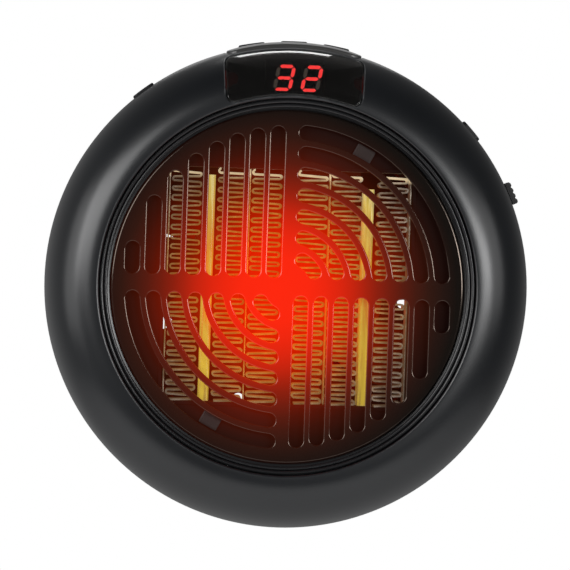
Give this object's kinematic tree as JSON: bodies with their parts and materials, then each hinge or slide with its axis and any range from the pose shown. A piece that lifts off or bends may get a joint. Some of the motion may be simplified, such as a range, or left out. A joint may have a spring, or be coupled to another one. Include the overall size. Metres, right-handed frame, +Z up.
{
  "type": "plug-in fan heater",
  "caption": "Round compact fan heater that plugs straight into a wall socket, with a slotted front grille over a corrugated heating element, a number display and rim controls.",
  "frame": {"origin": "centre of the plug's flat face, which meets the socket", "axes": "+Y into the wall along the heater's axis, so the room lies towards -Y; +Z up; +X to the right seen from the room"},
  "size_m": [0.17, 0.119, 0.1715],
  "materials": {
    "case_plastic": "fine spark-eroded grain",
    "trim_plastic": "satin gloss",
    "grille_plastic": "smoked gloss",
    "window_plastic": "high gloss, smoked",
    "led_face": "satin",
    "circuit_board": "lacquered",
    "strip_plastic": "satin",
    "button_plastic": "satin",
    "pad_plastic": "matt",
    "knob_plastic": "ribbed, satin",
    "tact_switch_metal": "plain",
    "inner_plastic": "matt",
    "screw_steel": "zinc plated",
    "duct_plastic": "matt, heat resistant",
    "fan_plastic": "matt",
    "motor_steel": "plated",
    "motor_cap_plastic": "matt",
    "rotor_iron": "varnished stack",
    "bearing_bronze": "sintered",
    "frame_plastic": "matt, heat resistant",
    "amber_film": "film wrap",
    "fin_aluminium": "bright",
    "thermostat_ceramic": "matt",
    "fuse_ceramic": "matt",
    "relay_plastic": "satin",
    "lead_silicone": "smooth",
    "plug_plastic": "satin",
    "pin_metal": "nickel plated",
    "contact_brass": "bright"
  },
  "bodies": {
    "plug": {"plug_body": "plug_plastic", "plug_pin_left": "pin_metal", "plug_pin_right": "pin_metal", "slip_ring_inner": "contact_brass", "slip_ring_outer": "contact_brass"},
    "housing": {"front_bezel": "case_plastic", "rear_shell": "case_plastic", "trim_ring": "trim_plastic", "front_grille": "grille_plastic", "display_window": "window_plastic", "led_display": "led_face", "display_board": "circuit_board", "button_board": "circuit_board", "main_board": "circuit_board", "control_strip": "strip_plastic", "rim_pad_left": "pad_plastic", "rim_pad_right": "pad_plastic", "tact_switch_left": "tact_switch_metal", "tact_switch_middle": "tact_switch_metal", "tact_switch_right": "tact_switch_metal", "switch_body": "inner_plastic", "case_screw_1": "screw_steel", "case_screw_2": "screw_steel", "case_screw_3": "screw_steel", "case_screw_4": "screw_steel", "fan_duct": "duct_plastic", "motor_housing": "motor_steel", "motor_end_cap": "motor_cap_plastic", "bearing_front": "bearing_bronze", "bearing_rear": "bearing_bronze", "ptc_frame": "frame_plastic", "ptc_bar_1": "amber_film", "ptc_bar_2": "amber_film", "ptc_bar_3": "amber_film", "fin_column_1": "fin_aluminium", "fin_column_2": "fin_aluminium", "fin_column_3": "fin_aluminium", "fin_column_4": "fin_aluminium", "fin_column_5": "fin_aluminium", "fin_column_6": "fin_aluminium", "fin_plate_1": "fin_aluminium", "fin_plate_2": "fin_aluminium", "fin_plate_3": "fin_aluminium", "fin_plate_4": "fin_aluminium", "thermostat": "thermostat_ceramic", "thermal_fuse": "fuse_ceramic", "relay": "relay_plastic", "heater_lead_left": "lead_silicone", "heater_lead_right": "lead_silicone", "contact_spring_inner": "contact_brass", "contact_spring_outer": "contact_brass", "plug_retainer": "inner_plastic", "contact_carrier": "inner_plastic"},
    "fan": {"impeller": "fan_plastic", "motor_shaft": "motor_steel", "motor_rotor": "rotor_iron"},
    "button_left": {"button_left": "button_plastic"},
    "button_middle": {"button_middle": "button_plastic"},
    "button_right": {"button_right": "button_plastic"},
    "speed_switch": {"switch_knob": "knob_plastic"}
  },
  "joints": [
    {"name": "plug_turn", "type": "hinge", "parent": "plug", "child": "housing", "pos_m": [0, 0, 0], "axis": [0, 1, 0], "range_deg": [-90, 90]},
    {"name": "fan_spin", "type": "hinge", "parent": "housing", "child": "fan", "pos_m": [0, -0.06, 0], "axis": [0, 1, 0], "continuous": true},
    {"name": "button_left_press", "type": "slide", "parent": "housing", "child": "button_left", "axis": [0.1736, 0, -0.9848], "range_m": [0, 0.0008], "stiffness_N_per_m": 2000, "springref_m": -0.0004},
    {"name": "button_middle_press", "type": "slide", "parent": "housing", "child": "button_middle", "axis": [0, 0, -1], "range_m": [0, 0.0008], "stiffness_N_per_m": 2000, "springref_m": -0.0004},
    {"name": "button_right_press", "type": "slide", "parent": "housing", "child": "button_right", "axis": [-0.1736, 0, -0.9848], "range_m": [0, 0.0008], "stiffness_N_per_m": 2000, "springref_m": -0.0004},
    {"name": "speed_switch_slide", "type": "slide", "parent": "housing", "child": "speed_switch", "axis": [-0.4131, 0, 0.9107], "range_m": [0, 0.004]}
  ]
}
